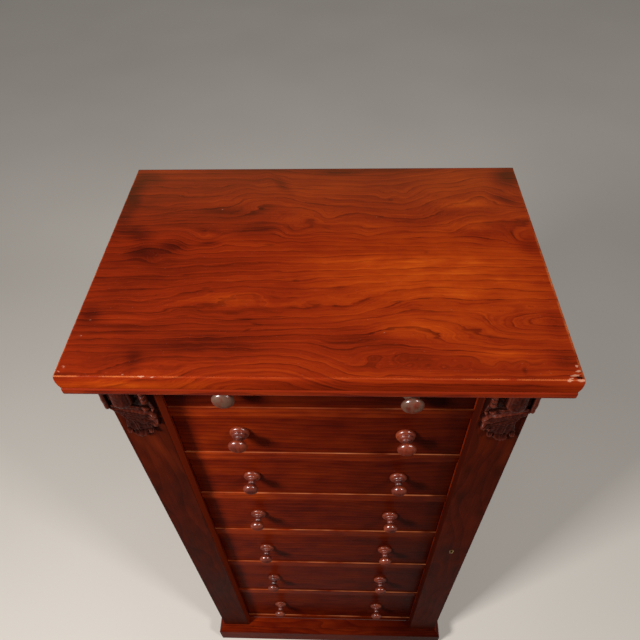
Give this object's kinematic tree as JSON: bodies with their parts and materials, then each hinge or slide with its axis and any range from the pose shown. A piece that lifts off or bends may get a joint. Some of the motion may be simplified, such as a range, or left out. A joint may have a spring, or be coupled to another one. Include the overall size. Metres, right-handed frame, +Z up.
{
  "type": "wellington chest",
  "caption": "Tall narrow wooden chest of graduated drawers with turned knobs, between a fixed stile and a hinged locking stile under carved corbels.",
  "frame": {"origin": "on the floor, under the middle of the chest's bounding box", "axes": "+Z up, -Y out of the front where the drawers open, +X to the right as one faces the chest"},
  "size_m": [0.6, 0.414, 1.192],
  "materials": {
    "polished_mahogany": "french polish",
    "carved_mahogany": "waxed, dark",
    "turned_knobs": "polished",
    "drawer_lining": "bare",
    "pine_back": "bare",
    "aged_brass": "dull"
  },
  "bodies": {
    "carcass": {"top_board": "polished_mahogany", "sub_top": "polished_mahogany", "side_left": "polished_mahogany", "side_right": "polished_mahogany", "post_left": "polished_mahogany", "post_right": "polished_mahogany", "top_rail": "polished_mahogany", "dustboard_1": "polished_mahogany", "dustboard_2": "polished_mahogany", "dustboard_3": "polished_mahogany", "dustboard_4": "polished_mahogany", "dustboard_5": "polished_mahogany", "dustboard_6": "polished_mahogany", "bottom_board": "polished_mahogany", "back_panel": "pine_back", "plinth_front": "polished_mahogany", "plinth_left": "polished_mahogany", "plinth_right": "polished_mahogany", "fixed_stile": "polished_mahogany", "corbel_left": "carved_mahogany", "hinge_leaf_carcass_top": "aged_brass", "hinge_leaf_carcass_bottom": "aged_brass", "hinge_pin_top": "aged_brass", "hinge_pin_bottom": "aged_brass", "link_plate": "aged_brass"},
    "hinged_stile": {"locking_stile": "polished_mahogany", "corbel_right": "carved_mahogany", "hinge_leaf_stile_top": "aged_brass", "hinge_leaf_stile_bottom": "aged_brass", "lock_case": "aged_brass", "escutcheon": "aged_brass"},
    "bolt": {"lock_bolt": "aged_brass"},
    "drawer_1": {"drawer_1_front": "polished_mahogany", "drawer_1_box": "drawer_lining", "drawer_1_knob_left": "turned_knobs", "drawer_1_knob_right": "turned_knobs"},
    "drawer_2": {"drawer_2_front": "polished_mahogany", "drawer_2_box": "drawer_lining", "drawer_2_knob_left": "turned_knobs", "drawer_2_knob_right": "turned_knobs"},
    "drawer_3": {"drawer_3_front": "polished_mahogany", "drawer_3_box": "drawer_lining", "drawer_3_knob_left": "turned_knobs", "drawer_3_knob_right": "turned_knobs"},
    "drawer_4": {"drawer_4_front": "polished_mahogany", "drawer_4_box": "drawer_lining", "drawer_4_knob_left": "turned_knobs", "drawer_4_knob_right": "turned_knobs"},
    "drawer_5": {"drawer_5_front": "polished_mahogany", "drawer_5_box": "drawer_lining", "drawer_5_knob_left": "turned_knobs", "drawer_5_knob_right": "turned_knobs"},
    "drawer_6": {"drawer_6_front": "polished_mahogany", "drawer_6_box": "drawer_lining", "drawer_6_knob_left": "turned_knobs", "drawer_6_knob_right": "turned_knobs"},
    "drawer_7": {"drawer_7_front": "polished_mahogany", "drawer_7_box": "drawer_lining", "drawer_7_knob_left": "turned_knobs", "drawer_7_knob_right": "turned_knobs"}
  },
  "joints": [
    {"name": "stile_hinge", "type": "hinge", "parent": "carcass", "child": "hinged_stile", "pos_m": [0.2733, -0.15785, 0.6153], "axis": [0, 0, 1], "range_deg": [0, 170]},
    {"name": "bolt_throw", "type": "slide", "parent": "hinged_stile", "child": "bolt", "axis": [-1, 0, 0], "range_m": [0, 0.0065]},
    {"name": "drawer_1_slide", "type": "slide", "parent": "carcass", "child": "drawer_1", "axis": [0, -1, 0], "range_m": [0, 0.26]},
    {"name": "drawer_2_slide", "type": "slide", "parent": "carcass", "child": "drawer_2", "axis": [0, -1, 0], "range_m": [0, 0.26]},
    {"name": "drawer_3_slide", "type": "slide", "parent": "carcass", "child": "drawer_3", "axis": [0, -1, 0], "range_m": [0, 0.26]},
    {"name": "drawer_4_slide", "type": "slide", "parent": "carcass", "child": "drawer_4", "axis": [0, -1, 0], "range_m": [0, 0.26]},
    {"name": "drawer_5_slide", "type": "slide", "parent": "carcass", "child": "drawer_5", "axis": [0, -1, 0], "range_m": [0, 0.26]},
    {"name": "drawer_6_slide", "type": "slide", "parent": "carcass", "child": "drawer_6", "axis": [0, -1, 0], "range_m": [0, 0.26]},
    {"name": "drawer_7_slide", "type": "slide", "parent": "carcass", "child": "drawer_7", "axis": [0, -1, 0], "range_m": [0, 0.26]}
  ]
}
